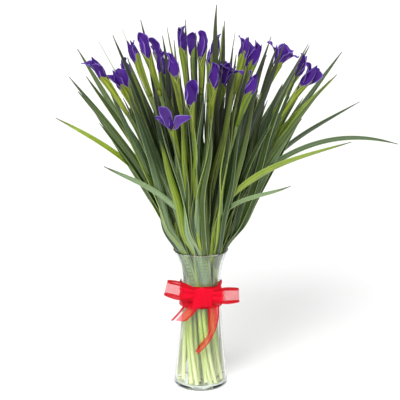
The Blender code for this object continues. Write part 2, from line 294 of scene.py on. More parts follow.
class Body:
    """Surfaces gathered into one mesh, with a map of (u, v) and a shade number for each vertex."""

    def __init__(self):
        self.points, self.maps, self.shades, self.faces, self.slots = [], [], [], [], []
        self.count = 0

    def add(self, points, uv=None, shade=0.5, wrap=False, cap=(False, False), slot=0):
        """A grid of rows along v and columns across u. wrap joins the last column to the first."""
        rows, columns = points.shape[:2]
        if uv is None:
            u = np.linspace(0, 1, columns + 1)[:-1] if wrap else np.linspace(0, 1, columns)
            uv = np.stack(np.meshgrid(u, np.linspace(0, 1, rows)), axis=-1)
        index = self.count + np.arange(rows * columns).reshape(rows, columns)
        right = np.roll(index, -1, axis=1)
        if not wrap:
            index, right = index[:, :-1], right[:, :-1]
        quads = np.stack([index[:-1], right[:-1], right[1:], index[1:]], axis=-1).reshape(-1, 4)
        self.faces += quads.tolist()
        self.slots += [slot] * len(quads)
        if cap[0]:
            self.faces.append(index[0][::-1].tolist())
            self.slots.append(slot)
        if cap[1]:
            self.faces.append(index[-1].tolist())
            self.slots.append(slot)
        self.points.append(points.reshape(-1, 3))
        self.maps.append(uv.reshape(-1, 2))
        self.shades.append(np.full(rows * columns, float(shade)) if np.isscalar(shade) else shade.reshape(-1))
        self.count += rows * columns

    def build(self, name, finishes, skin=0.0):
        """The mesh as a piece at the origin. skin is the thickness that open sheets get."""
        mesh = bpy.data.meshes.new(name)
        mesh.from_pydata(np.concatenate(self.points).tolist(), [], self.faces)
        for finish in finishes:
            mesh.materials.append(finish)
        mesh.polygons.foreach_set("material_index", self.slots)
        corners = np.empty(len(mesh.loops), np.int32)
        mesh.loops.foreach_get("vertex_index", corners)
        layer = mesh.uv_layers.new(name="along")
        layer.data.foreach_set("uv", np.concatenate(self.maps)[corners].astype(np.float32).ravel())
        shade = mesh.attributes.new("shade", "FLOAT", "POINT")
        shade.data.foreach_set("value", np.concatenate(self.shades).astype(np.float32))
        mesh.shade_smooth()
        piece = bpy.data.objects.new(name, mesh)
        bpy.context.scene.collection.objects.link(piece)
        if skin:
            solidify = piece.modifiers.new("skin", "SOLIDIFY")
            solidify.thickness = skin
            solidify.offset = 0
        return piece


def fitted(piece, node):
    """Ties a piece to the frame, and hides the model's part that it stands for."""
    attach(piece, "root")
    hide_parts(node)
    return piece


def lathe(profile, columns=128):
    """A profile of (radius, height) rows turned about Z, outward faces when it runs down the outer side."""
    angle = np.linspace(0, math.tau, columns + 1)[:-1]
    radius, z = np.asarray(profile, float).T
    x = radius[:, None] * np.cos(angle)
    y = radius[:, None] * -np.sin(angle)
    return np.stack([x, y, np.broadcast_to(z[:, None], x.shape)], axis=-1)


def tube(path, radius, columns=14):
    """A round section carried along a path. Its first side is square to the path and to a fixed
    direction."""
    along = direction_of(path)
    side = unit(np.cross(along, [0.31, 0.95, 0.02]))
    other = np.cross(along, side)
    angle = np.linspace(0, math.tau, columns + 1)[:-1]
    ring = side[:, None] * np.cos(angle)[:, None] + other[:, None] * np.sin(angle)[:, None]
    return path[:, None] + ring * np.broadcast_to(radius, len(path))[:, None, None]


# ---------------------------------------------------------------- finishes

class Wire:
    """A socket in a finish. Arithmetic on it adds Math nodes, so shader maths is written as formulas."""

    def __init__(self, finish, socket):
        self.finish, self.socket = finish, socket

    def math(self, operation, *others, first=None):
        values = [self if first is None else first, *others]
        return self.finish.node("Math", dict(enumerate(values)), operation=operation)

    def __add__(self, other):
        return self.math("ADD", other)

    def __radd__(self, other):
        return self.math("ADD", other)

    def __sub__(self, other):
        return self.math("SUBTRACT", other)

    def __rsub__(self, other):
        return self.math("SUBTRACT", self, first=other)

    def __mul__(self, other):
        return self.math("MULTIPLY", other)

    def __truediv__(self, other):
        return self.math("DIVIDE", other)

    def __pow__(self, other):
        return self.math("POWER", other)

    def __abs__(self):
        return self.math("ABSOLUTE")

    def sine(self):
        return self.math("SINE")

    def least(self, other):
        return self.math("MINIMUM", other)

    def most(self, other):
        return self.math("MAXIMUM", other)

    def ramp(self, low, high):
        """0 where this is at low and 1 where it is at high, eased."""
        sockets = {"Value": self, "From Min": low, "From Max": high}
        return self.finish.node("MapRange", sockets, interpolation_type="SMOOTHSTEP")

    def stripe(self, waves):
        """Even stripes between 0 and 1, so many to each unit of this."""
        return (self * (math.tau * waves)).sine() * 0.5 + 0.5

    def mixed(self, low, high):
        """The colour low where this is 0 and high where it is 1."""
        return self.finish.node("Mix", {0: self, 6: low, 7: high}, out=2, data_type="RGBA")


def srgb(red, green, blue):
    """A colour given in display steps of 0 to 255, as the linear values a shader wants."""
    parts = [c / 255 for c in (red, green, blue)]
    return (*[c / 12.92 if c <= 0.04045 else ((c + 0.055) / 1.055) ** 2.4 for c in parts], 1.0)


class Finish:
    """A material with its node tree."""

    def __init__(self, name):
        self.material = bpy.data.materials.new(name)
        self.material.use_nodes = True
        self.tree = self.material.node_tree
        self.tree.nodes.clear()

    def node(self, kind, sockets=(), out=0, **settings):
        """Adds any node: its settings by name, then its sockets, each given a value or a wire."""
        node = self.tree.nodes.new("ShaderNode" + kind)
        for name, value in settings.items():
            setattr(node, name, value)
        for key, value in dict(sockets).items():
            if isinstance(value, Wire):
                self.tree.links.new(value.socket, node.inputs[key])
            else:
                node.inputs[key].default_value = value
        return Wire(self, node.outputs[out]) if node.outputs else node

    def place(self):
        """The point on the finished object, in metres."""
        return self.node("TexCoord", out=3)

    def split(self, wire):
        node = self.tree.nodes.new("ShaderNodeSeparateXYZ")
        self.tree.links.new(wire.socket, node.inputs[0])
        return [Wire(self, socket) for socket in node.outputs]

    def along(self):
        """u and v of the piece's own map."""
        return self.split(self.node("UVMap", uv_map="along"))[:2]

    def shade(self):
        return self.node("Attribute", out=2, attribute_name="shade")

    def noise(self, vector, scale, detail=3.0, roughness=0.55):
        sockets = {"Vector": vector, "Scale": scale, "Detail": detail, "Roughness": roughness}
        return self.node("TexNoise", sockets)

    def stretched(self, vector, x, y, z):
        return self.node("VectorMath", {0: vector, 1: (x, y, z)}, operation="MULTIPLY")

    def bump(self, height, distance, strength):
        return self.node("Bump", {"Height": height, "Distance": distance, "Strength": strength})

    def principled(self, **sockets):
        named = {key.replace("_", " "): value for key, value in sockets.items()}
        return self.node("BsdfPrincipled", named)

    def surface(self, shader):
        self.node("OutputMaterial", {"Surface": shader})
        return self.material


def glass_finish(name, tint, foot, ior):
    """Clear glass or water, of the colour foot at the table and tint above. It is a plain window to shadow
    rays, so light reaches what stands inside."""
    f = Finish(name)
    _, _, z = f.split(f.place())
    body = z.ramp(0.0005, 0.006).mixed(foot, tint)
    clear = f.principled(Base_Color=body, Roughness=0.0, IOR=ior, Transmission_Weight=1.0)
    through = f.node("BsdfTransparent", {"Color": tint})
    shadow = f.node("LightPath", out=1)
    return f.surface(f.node("MixShader", {0: shadow, 1: clear, 2: through}))


def leaf_finish():
    """A waxy blade: pale green where shade is low, dark green above that and yellow-green near 1. It has
    veins from end to end, a pale rib and margins and a greyer foot. Painted shade darkens it towards the
    bunch's axis, where its share of the bunch's radius is least."""
    f = Finish("waxy leaf")
    u, v = f.along()
    shade = f.shade()
    place = f.place()
    mottle = f.noise(place, 38.0, 4.0)
    x, y, z = f.split(place)
    # bunch is the bunch's radius at this height and outer the point's share of it: the mask for painted shade
    # inside the bunch.
    bunch = (z - BUNCH_WAIST_HEIGHT).most(0.0) ** FAN_POWER * FAN + BUNCH_WAIST
    outer = ((x * x + y * y) ** 0.5 / bunch).ramp(0.52, 1.12)
    bloomy = (shade + z.ramp(0.28, 0.50) * 0.3).ramp(0.1, 0.5)
    waxy = bloomy.mixed(srgb(176, 208, 152), srgb(34, 70, 6))
    green = shade.ramp(0.5, 1.0).mixed(waxy, srgb(186, 214, 48))
    broad = (u + mottle * 0.05).stripe(4.0)
    veins = (u + mottle * 0.012).stripe(15.0)
    fine = (u + mottle * 0.02).stripe(37.0)
    dark = (veins * 0.3 + broad * 0.35 + fine * 0.15 + mottle * 0.35).ramp(0.1, 0.95)
    toned = (dark * 0.68).mixed(green, srgb(22, 46, 4))
    rib = 1 - abs(u - 0.5).ramp(0.0, 0.05)
    margin = abs(u - 0.5).ramp(0.41, 0.48)
    ribbed = (rib * 0.35).most(margin * 0.7).mixed(toned, srgb(190, 208, 142))
    footed = (z.ramp(0.18, 0.27) * 0.75 + 0.25).mixed(srgb(100, 118, 98), ribbed)
    # Painted shade: near-black green where outer is small, in the middle of the bunch.
    painted_axis_shade = (outer * 0.9 + 0.1).mixed(srgb(6, 14, 2), footed)
    tipped = (v.ramp(0.90, 1.0) * 0.8).mixed(painted_axis_shade, srgb(52, 60, 26))
    bump = f.bump(veins * 0.7 + fine * 0.3 + rib, 0.00025, 0.7)
    return f.surface(f.principled(
        Base_Color=tipped, Roughness=0.28 + mottle * 0.2, Normal=bump, Specular_IOR_Level=0.6,
        Coat_Weight=0.1, Coat_Roughness=0.3,
    ))


def stem_finish():
    """A smooth stalk: pale at its cut end, bright yellow-green up to the ribbon and green above it. Painted
    shade darkens it near the bunch's axis."""
    f = Finish("iris stalk")
    u, _ = f.along()
    place = f.place()
    x, y, z = f.split(place)
    shade = f.shade()
    mottle = f.noise(f.stretched(place, 1.0, 1.0, 0.16), 230.0, 3.0)
    pale = (z + shade * 0.05).ramp(0.03, 0.15).mixed(srgb(214, 220, 168), srgb(148, 172, 30))
    green = z.ramp(0.150, 0.20).mixed(pale, srgb(84, 118, 40))
    lit = (mottle * 0.4).mixed(green, srgb(214, 218, 150))
    # Painted shade: outer masks stalks near the bunch's axis, which are mixed towards a darker green.
    outer = ((x * x + y * y) ** 0.5).ramp(0.004, 0.022)
    painted_axis_shade = (outer * 0.5 + 0.5).mixed(srgb(86, 122, 10), lit)
    dark = (u.stripe(9.0) * (z.ramp(0.1, 0.3) * 0.25 + 0.08)).mixed(painted_axis_shade, srgb(50, 80, 18))
    bump = f.bump(mottle + u.stripe(9.0) * 0.4, 0.0002, 0.6)
    return f.surface(f.principled(Base_Color=dark, Roughness=0.38 + mottle * 0.15, Normal=bump))


def cut_finish():
    """The end of a cut stem: pale pith with darker bundles."""
    f = Finish("cut stem end")
    place = f.place()
    dots = f.noise(place, 1900.0, 2.0).ramp(0.52, 0.66)
    return f.surface(f.principled(
        Base_Color=dots.mixed(srgb(238, 240, 214), srgb(176, 190, 120)), Roughness=0.6 + dots * 0.1,
    ))


def spathe_finish():
    """The papery green sheath under a bloom, streaked along, pale at its margins and browner at its tip."""
    f = Finish("spathe")
    u, v = f.along()
    shade = f.shade()
    mottle = f.noise(f.place(), 120.0, 4.0)
    veins = (u + mottle * 0.01).stripe(14.0)
    green = (shade * 0.8 + mottle * 0.3).mixed(srgb(92, 128, 16), srgb(182, 196, 40))
    streak = (u + mottle * 0.06).stripe(3.0)
    veined = (veins * 0.3 + streak * 0.55).mixed(green, srgb(36, 62, 6))
    edged = (abs(u - 0.5).ramp(0.42, 0.5) * 0.7).mixed(veined, srgb(206, 206, 140))
    tipped = (v.ramp(0.93, 1.0) * 0.6).mixed(edged, srgb(150, 132, 70))
    bump = f.bump(veins, 0.0002, 0.7)
    return f.surface(f.principled(Base_Color=tipped, Roughness=0.45 + mottle * 0.2, Normal=bump))


def petal_finish(name, signal):
    """Velvety violet, darker in the veins, paler where shade is high, lavender at the margin and cream-green
    at the foot. With signal it also has a yellow patch in a lilac ring."""
    f = Finish(name)
    u, v = f.along()
    shade = f.shade()
    mottle = f.noise(f.place(), 150.0, 5.0, 0.6)
    side = abs(u - 0.5) * 2.0
    fan = (u - 0.5) * (1.6 - v) + mottle * 0.02
    veins = fan.stripe(15.0) * 0.6 + fan.stripe(34.0) * 0.4
    violet = (shade * 0.75 + mottle * 0.35).mixed(srgb(46, 2, 98), srgb(82, 30, 148))
    pale = (shade - v * 0.2).ramp(0.75, 1.3).mixed(violet, srgb(176, 140, 226))
    veined = (veins.ramp(0.35, 0.9) * 0.5).mixed(pale, srgb(32, 2, 74))
    margin = (side + mottle * 0.2 + shade.ramp(0.8, 1.2) * 0.08).ramp(0.90, 1.10)
    edged = (margin * 0.75).mixed(veined, srgb(160, 136, 226))
    foot = 1 - (v + mottle * 0.06).ramp(0.03, 0.20)
    footed = foot.mixed(edged, srgb(196, 204, 150))
    if signal:
        reach = ((v - 0.56) * (v - 0.56) * 22.0 + side * side * 5.0 + mottle * 0.5).ramp(0.32, 0.62)
        white = reach.mixed(srgb(150, 116, 200), footed)
        core = ((v - 0.55) * (v - 0.55) * 40.0 + side * side * 26.0 + mottle * 0.4).ramp(0.12, 0.3)
        footed = core.mixed(srgb(206, 170, 60), white)
    bump = f.bump(veins * 0.6 + mottle * 0.8, 0.0003, 0.6)
    return f.surface(f.principled(
        Base_Color=footed, Roughness=0.55 + mottle * 0.25, Normal=bump,
        Specular_IOR_Level=0.25, Sheen_Weight=0.08, Sheen_Roughness=0.4, Sheen_Tint=srgb(190, 160, 255),
    ))


def organza_finish():
    """Sheer woven red. In the body alpha grows with shade, and along both woven edges it is nearly full."""
    f = Finish("organza")
    u, v = f.along()
    shade = f.shade()
    weave = f.noise(f.place(), 420.0, 2.0)
    edge = abs(u - 0.5).ramp(0.345, 0.365)
    threads = (u.stripe(62.0) * v.stripe(260.0)).ramp(0.1, 0.9)
    body = weave.mixed(srgb(214, 0, 28), srgb(234, 0, 48))
    colour = edge.mixed(body, srgb(188, 0, 20))
    alpha = (0.16 + shade * 0.72 + weave * 0.10 + threads * 0.05).most(edge * 0.97)
    bump = f.bump(threads + weave * 0.5, 0.0001, 0.5)
    # The faint red emission is painted light: a glow that lifts the ribbon's shaded folds.
    return f.surface(f.principled(
        Base_Color=colour, Roughness=0.5 + weave * 0.2, Alpha=alpha.least(1.0), Normal=bump,
        Specular_IOR_Level=0.12, Emission_Color=srgb(236, 0, 30), Emission_Strength=0.05,
    ))


def ground_finish():
    """A nearly white floor with a faint grain."""
    f = Finish("pale ground")
    grain = f.noise(f.place(), 9.0, 3.0)
    tone = (grain * 0.5).mixed(srgb(250, 250, 250), srgb(244, 244, 243))
    return f.surface(f.principled(Base_Color=tone, Roughness=0.7 + grain * 0.1, Specular_IOR_Level=0.2))


CLEAR_GLASS = glass_finish("clear glass", (0.975, 0.990, 0.985, 1), (0.88, 0.93, 0.91, 1), 1.5)
CLEAR_WATER = glass_finish("clear water", (0.985, 0.995, 0.985, 1), (0.985, 0.995, 0.985, 1), 1.333)
LEAF = leaf_finish()
STALK = stem_finish()
CUT_END = cut_finish()
SPATHE = spathe_finish()
PETAL = petal_finish("violet petal", False)
FALL_PETAL = petal_finish("violet fall", True)
ORGANZA = organza_finish()


# ---------------------------------------------------------------- surfaces

def eased(v, stations):
    """A smooth curve through (v, value) stations: a cubic between each two, sloped by its neighbours."""
    x, y = np.array(stations, float).T
    slope = np.gradient(y, x)
    i = np.clip(np.searchsorted(x, v, side="right") - 1, 0, len(x) - 2)
    step = x[i + 1] - x[i]
    t = (v - x[i]) / step
    low = (2 * t**3 - 3 * t**2 + 1) * y[i] + (t**3 - 2 * t**2 + t) * step * slope[i]
    return low + (-2 * t**3 + 3 * t**2) * y[i + 1] + (t**3 - t**2) * step * slope[i + 1]


def channel(middle, across, face, half, bend, columns):
    """A blade with a curved section: P(u, v) = M + A w sin(b u)/b - N w (1 - cos(b u))/b, where w is half
    its width and b is the angle that half its width bends through, so it is flat at 0 and wraps at pi."""
    u = np.linspace(-1, 1, columns)
    bend = np.maximum(np.abs(bend), 1e-3)[:, None]
    out = half[:, None] * np.sin(bend * u) / bend
    back = half[:, None] * (1 - np.cos(bend * u)) / bend
    return middle[:, None] + across[:, None] * out[..., None] - face[:, None] * back[..., None]


def inside_vase(points):
    """Points drawn in towards the axis until they clear the glass. Above the rim the limit opens out by four
    times the height."""
    z = points[..., 2]
    limit = vase_radius(np.clip(z, 0, VASE_HEIGHT)) - GLASS - LEAF_SKIN / 2 - LEAF_WALL_GAP
    limit = limit + 4 * np.clip(z - VASE_HEIGHT - 0.002, 0, None)
    radius = np.hypot(points[..., 0], points[..., 1])
    scale = np.minimum(1, limit / np.maximum(radius, 1e-9))
    return np.stack([points[..., 0] * scale, points[..., 1] * scale, z], axis=-1)


def swirled(path):
    """A path turned about the bunch's axis: by LEAF_SWIRL low down, easing to nothing at LEAF_SWIRL_HIGH."""
    turn = LEAF_SWIRL * (1 - ease(path[:, 2], LEAF_SWIRL_LOW, LEAF_SWIRL_HIGH))
    c, s = np.cos(turn), np.sin(turn)
    return np.stack([c * path[:, 0] - s * path[:, 1], s * path[:, 0] + c * path[:, 1], path[:, 2]], axis=1)


def within_glass(path):
    """A midrib spread to fill the waist and held off the glass. Above the rim its limit opens out by a
    parabola in the height. It is smoothed so that it leaves the rim without a kink."""
    z = path[:, 2]
    above = np.clip(z - VASE_HEIGHT, 0, None)
    wall = vase_radius(np.clip(z, 0, VASE_HEIGHT)) - GLASS
    limit = wall - MIDRIB_WALL_GAP + 0.32 * above + 8 * above**2
    held = path.copy()
    held[:, :2] *= 1 + WAIST_FILL * (1 - ease(z[:, None], 0.25, 0.33))
    radius = np.hypot(held[:, 0], held[:, 1])
    held[:, :2] *= np.minimum(1, limit / np.maximum(radius, 1e-9))[:, None]
    window = np.hanning(15)
    window /= window.sum()
    smooth = np.stack([np.convolve(np.pad(column, 7, "edge"), window, "valid") for column in held.T], axis=1)
    smooth[0], smooth[-1] = held[0], held[-1]
    return smooth


def leaf_surface(head, leaf, twist, foot, bow, phase):
    """A leaf: its midrib follows the stem up, then a cubic curve out to the tip, which bow pushes
    outwards at its start. Its section is channel()'s. It is wrapped round the stem at its foot, unrolls
    to a shallow channel just above, turns by twist about its own length and narrows to a fine point."""
    leave, tip, droop, width = leaf
    tip = np.array(tip, float)
    start = stem_path(head, leave)[0]
    outward = unit(np.array([tip[0], tip[1], 0.0]))
    length = np.linalg.norm(tip - start)
    end = unit(tip - start)
    side = np.cross(end, outward)
    if np.linalg.norm(side) > 0.001:
        end = turned(end, unit(side), math.radians(droop))
    lift = unit(stem_direction(head, leave) + bow * outward)
    t = np.linspace(0, 1, 80)
    curve = bezier(start, start + 0.42 * length * lift, tip - 0.34 * length * end, tip, t)
    sheath = stem_path(head, np.linspace(foot, leave, 60))[:-1]
    path = within_glass(swirled(np.concatenate([sheath, curve])))
    path = resampled(path, LEAF_ROWS)
    v = np.linspace(0, 1, LEAF_ROWS)
    sheathed = np.linalg.norm(np.diff(sheath, axis=0), axis=1).sum()
    total = sheathed + np.linalg.norm(np.diff(curve, axis=0), axis=1).sum()
    t = np.clip((v - sheathed / total) / (1 - sheathed / total), 0, 1)
    along = direction_of(path)
    sideways = np.cross([0.0, 0.0, 1.0], outward)
    across = unit(sideways - along * (along @ sideways)[:, None])
    face = unit(np.cross(across, along))
    middle = path + face * ((STEM_RADIUS + SHEATH_GAP) * (1 - ease(t, 0.1, 1.0)))[:, None]
    sway = np.sin(math.tau * 1.4 * t + phase) * 0.003 * t * (1 - t) * 4
    middle = middle + across * sway[:, None]
    angle = twist * (ease(t, 0.0, 0.4) + 0.12 * np.sin(math.tau * 1.2 * t + phase))
    across, face = turned(across, along, angle), turned(face, along, angle)
    neck = 1 - 0.12 * ease(t, 0.0, 0.1) * (1 - ease(t, 0.15, 0.4))
    half = 0.5 * width * 1.12 * (1 - t**3.2) ** 0.8 * neck
    half = np.maximum(half, LEAF_LEAST_HALF)
    open_at = ease(path[:, 2], foot + 0.005, foot + 0.036)
    bend = half / (STEM_RADIUS + SHEATH_GAP) * (1 - open_at) + (1.05 - 0.6 * t) * open_at
    points = channel(middle, across, face, half, bend, LEAF_COLUMNS)
    return inside_vase(points)


# ---------------------------------------------------------------- stems, leaves and spathes

def stalk(number, head):
    """The round stem, from its cut end to the bloom's foot, faintly uneven along its length."""
    body = Body()
    z = np.linspace(STEM_FOOT, head[2] + 0.001, 44)
    foot = 0.12 * (1 - ease(z, 0.0, 0.06)) * (number % 3 - 1)
    radius = STEM_RADIUS * (1 + 0.05 * np.sin(z * 47 + number) + foot)
    points = tube(stem_path(head, z), radius, 16)
    body.add(points, shade=(number * 0.37) % 1, wrap=True, cap=(False, True))
    ring = points[0]
    middle = ring.mean(axis=0)
    disc = np.stack([ring, middle + (ring - middle) * 0.5, middle + (ring - middle) * 0.02])
    body.add(disc[::-1], wrap=True, cap=(True, False), slot=1)
    return body.build(f"stalk_{number:02d}", [STALK, CUT_END])


def filler_leaves(head, number, draw):
    """Seven more leaves for a stem, by rule: each leaves it low and ends near the bloom."""
    reach = math.hypot(head[0], head[1])
    azimuth = math.atan2(head[1], head[0])
    leaves = []
    for side in FILLER_SIDES:
        turn = azimuth + side * draw.uniform(0.10, 0.60) * (1.6 - 5 * min(reach, 0.2))
        out = reach * draw.uniform(0.78, 1.06) + 0.006
        tip = (out * math.cos(turn), out * math.sin(turn), head[2] + draw.uniform(-0.075, 0.045))
        leave = draw.uniform(0.19, 0.26)
        leaves.append((leave, tip, draw.uniform(0, 10), draw.uniform(0.010, 0.0155)))
    return leaves


def foliage(number, head, leaves):
    """All the leaves of one stem: its listed ones, then its filler ones."""
    draw = np.random.default_rng(LEAF_SEED + number)
    body = Body()
    blades = [(leaf, 0.25) for leaf in leaves]
    blades += [(leaf, draw.uniform(0.25, 0.45)) for leaf in filler_leaves(head, number, draw)]
    for order, (leaf, bow) in enumerate(blades):
        foot = draw.uniform(0.150, 0.168)
        twist = LEAF_TWIST * (1, -1)[order % 2] * (-1) ** number * draw.uniform(0.75, 1.15)
        points = leaf_surface(head, leaf, twist, foot, bow, draw.uniform(0, 6))
        body.add(points, shade=draw.uniform(0, 1))
    return body.build(f"leaves_{number:02d}", [LEAF], LEAF_SKIN)


def spathe(number, head):
    """Two papery valves wrapped round the bloom's foot, one a little longer, each ending in a point."""
    draw = np.random.default_rng(SPATHE_SEED + number)
    body = Body()
    top = head[2]
    tangent = stem_direction(head, top)
    first = draw.uniform(0, math.tau)
    for order, (drop, rise, loose) in enumerate(((0.060, 0.013, 1.0), (0.050, 0.022, 1.12))):
        v = np.linspace(0, 1, 24)
        z = top - drop + (drop + rise) * v
        base = stem_path(head, np.minimum(z, top))
        base = base + tangent * np.clip(z - top, 0, None)[:, None]
        angle = first + order * (math.pi + 0.4)
        outward = np.array([math.cos(angle), math.sin(angle), 0.0])
        along = direction_of(base)
        across = unit(np.cross(along, outward))
        face = unit(np.cross(across, along))
        round_ = eased(v, ((0, 0.0035), (0.25, 0.0039), (0.55, 0.0050), (0.8, 0.0064), (1, 0.0080))) * loose
        wrap = eased(v, ((0, 2.5), (0.3, 2.4), (0.6, 2.0), (0.82, 1.15), (0.94, 0.45), (1, 0.02)))
        points = channel(base + face * round_[:, None], across, face, round_ * wrap, wrap, 17)
        body.add(points, shade=draw.uniform(0, 1))
    return body.build(f"spathe_{number:02d}", [SPATHE], PAPER_SKIN)


# ---------------------------------------------------------------- blooms

PALE_IRIS = 24

# Petals, in their own frame: how far along, how far out, how far up, half width, and bend of the section.
FALL = (
    (0.00, 0.001, 0.003, 0.0034, 1.3), (0.22, 0.006, 0.014, 0.0056, 1.1), (0.42, 0.012, 0.026, 0.0094, 0.9),
    (0.62, 0.0185, 0.035, 0.0138, 0.6), (0.80, 0.0255, 0.040, 0.0142, 0.3),
    (1.00, 0.0345, 0.042, 0.0090, -0.2),
)
STANDARD = (
    (0.00, 0.001, 0.003, 0.0034, 1.2), (0.28, 0.005, 0.016, 0.0060, 1.1), (0.55, 0.0090, 0.030, 0.0108, 0.9),
    (0.80, 0.0110, 0.041, 0.0122, 0.8), (1.00, 0.0095, 0.050, 0.0088, 1.0),
)
STYLE = (
    (0.00, 0.000, 0.004, 0.0028, 0.9), (0.35, 0.006, 0.018, 0.0046, 0.9), (0.68, 0.012, 0.030, 0.0062, 0.9),
    (0.88, 0.0155, 0.036, 0.0064, 0.5), (1.00, 0.0165, 0.041, 0.0054, 0.2),
)
LOOSE_FALL = (
    (0.00, 0.001, 0.003, 0.0036, 1.3), (0.30, 0.0072, 0.015, 0.0080, 1.2), (0.55, 0.0105, 0.027, 0.0116, 0.9),
    (0.78, 0.0150, 0.037, 0.0122, 0.6), (1.00, 0.0230, 0.0435, 0.0084, 0.1),
)

# The furled middle of each stage: its length and radius.
FURLED = {
    "bud": (0.0465, 0.0088), "opening": (0.0460, 0.0084), "open": (0.030, 0.0046), "wedge": (0.026, 0.0050),
}

# Loose petals of each stage: the way each points in degrees, its reach, breadth, roll in degrees and lift.
LOOSE = {
    "bud": ((70, 0.42, 0.9, 25, 0.002),),
    "opening": ((0, 1.05, 1.0, 35, -0.004), (125, 0.75, 1.0, -25, -0.001)),
    "open": (),
    "wedge": ((-28, 1.75, 1.20, 42, -0.008), (205, 0.55, 1.55, -62, 0.014), (168, 1.10, 0.60, -30, -0.018)),
}


def petal_surface(table, ruffle=0.0, waves=3.0, phase=0.0, reach=1.0, lift=0.0, rows=26, columns=17):
    """A petal along a curve in the plane of out and up. Its half width closes as the root of 1 - v^7, which
    rounds the tip. Ruffles are sines that grow with the square of the distance from the midrib."""
    v = np.linspace(0, 1, rows)
    at, out, up, half, bend = np.array(table).T
    out, up, half, bend = (eased(v, tuple(zip(at, column))) for column in (out, up, half, bend))
    up = up + lift * v * v
    path = np.stack([out * reach, np.zeros(rows), up], axis=1)
    along = direction_of(path)
    across = np.broadcast_to(np.array([0.0, 1.0, 0.0]), along.shape)
    face = np.cross(across, along)
    half = half * np.sqrt(np.clip(1 - v**7, 0, 1)) + 0.0001
    u = np.linspace(-1, 1, columns)
    points = channel(path, across, face, half, bend, columns)
    swell = np.sin(math.tau * waves * v[:, None] + phase + 1.5 * u)
    wave = ruffle * ease(v, 0.35, 0.8)[:, None] * u**2 * swell
    rib = 0.0005 * np.exp(-(u / 0.12) ** 2) * np.ones((rows, 1))
    return points + face[:, None] * (wave + rib)[..., None]


def wound_surface(length, radius, start, cover, climb, twirl, blunt, rows=30, columns=30):
    """A petal wound round a bud: its angle is start + cover u + climb v, with cover halved at the tip. Its
    distance from the axis grows with u, so that each leading edge lies over the next petal. They close to a
    twisted point, or where blunt is near 1 they stay apart at their three rounded tips."""
    v = np.linspace(0, 1, rows)[:, None]
    u = np.linspace(-1, 1, columns)[None]
    stations = ((0, 0.42), (0.12, 0.74), (0.34, 1.0), (0.58, 0.9 + 0.08 * blunt), (0.78, 0.6 + 0.3 * blunt),
                (0.92, 0.26 + 0.45 * blunt), (1, 0.06 + 0.5 * blunt))
    round_ = radius * eased(v[:, 0], stations)[:, None]
    angle = start + cover * u * (1 - 0.5 * ease(v, 0.65, 1)) + climb * v
    out = round_ * (0.82 + 0.18 * u) * (1 + 0.05 * np.sin(3 * angle + 5 * v))
    x = out * np.cos(angle) + twirl * v * v
    y = out * np.sin(angle) + 0.4 * twirl * v**3
    z = length * (v - (0.08 + 0.20 * blunt) * v**3 * u * u)
    return np.stack([x, y, z + 0 * u], axis=-1)


def spun(points, turn):
    """Points turned about Z."""
    c, s = math.cos(turn), math.sin(turn)
    x, y, z = np.moveaxis(points, -1, 0)
    return np.stack([c * x - s * y, s * x + c * y, z], axis=-1)


def bloom(number, head, stage, turn):
    """Three wound petals, and round them what the stage adds. A bud has one petal starting to part from
    it. An opening one has two falls peeling away. An open one has three falls, standards and style arms.
    A wedge has three loose petals, two of them broad, that narrow to points."""
    draw = np.random.default_rng(BLOOM_SEED + number)
    body = Body()
    direction = Vector(stem_direction(head, head[2]))
    place = Vector(stem_path(head, head[2])[0])
    frame_ = direction.to_track_quat("Z", "Y").to_matrix().to_4x4()
    frame_ = Matrix.Translation(place) @ frame_ @ Matrix.Rotation(math.radians(turn), 4, "Z")
    matrix = np.array(frame_)

    def put(points, shade, slot=0):
        body.add(points @ matrix[:3, :3].T + matrix[:3, 3], shade=shade, slot=slot)

    tone = draw.uniform(0.05, 0.6) + 0.55 * (number == PALE_IRIS)
    length, radius = FURLED[stage]
    length *= draw.uniform(0.94, 1.04)
    radius *= draw.uniform(0.92, 1.05)
    twirl = draw.uniform(-0.004, 0.004)
    blunt = draw.uniform(0.0, 1.0) ** 1.3
    for k in range(3):
        start = math.tau * k / 3 + draw.uniform(-0.1, 0.1)
        cover = 1.75 - 0.35 * blunt
        points = wound_surface(length, radius, start, cover, draw.uniform(1.1, 1.6), twirl, blunt)
        put(points, tone + 0.25 * (k == 1) + draw.uniform(0, 0.15))
    for angle, reach, breadth, roll, lift in LOOSE[stage]:
        reach, lift = reach * draw.uniform(0.85, 1.15), lift + draw.uniform(-0.002, 0.002)
        points = petal_surface(LOOSE_FALL, 0.0018, 2.5, draw.uniform(0, 6), reach, lift)
        taper = 0.72 * (stage == "wedge") * np.linspace(0, 1, len(points)) ** 2.2
        points[..., 1] *= breadth * (1 - taper)[:, None]
        points = turned(points, unit(points[-1].mean(axis=0)), math.radians(roll))
        put(spun(points, math.radians(angle + draw.uniform(-8, 8))), tone + 0.3)
    if stage == "open":
        for k in range(3):
            swing = math.radians(120 * k + draw.uniform(-7, 7))
            fall = petal_surface(
                FALL, 0.0026, 2.6, draw.uniform(0, 6), draw.uniform(0.85, 1.0), draw.uniform(-0.016, 0.004),
            )
            put(spun(fall, swing), tone + 0.35, 1)
            style = petal_surface(STYLE, 0.0010, 3.5, draw.uniform(0, 6))
            put(spun(style, swing) + np.array([0, 0, 0.0022]), tone + 0.45)
            standard = petal_surface(
                STANDARD, 0.0018, 2.6, draw.uniform(0, 6), draw.uniform(0.7, 1.3), draw.uniform(-0.010, 0.0),
            )
            put(spun(standard, swing + math.pi / 3), tone + 0.2)
    return body.build(f"flower_{number:02d}", [PETAL, FALL_PETAL], PAPER_SKIN)


# ---------------------------------------------------------------- vase and water

def arc(centre, radius, first, last, count):
    """Points round an arc in the plane of radius and height, angles in degrees from the outward axis."""
    a = np.radians(np.linspace(first, last, count))
    return np.stack([centre[0] + radius * np.cos(a), centre[1] + radius * np.sin(a)], axis=1)


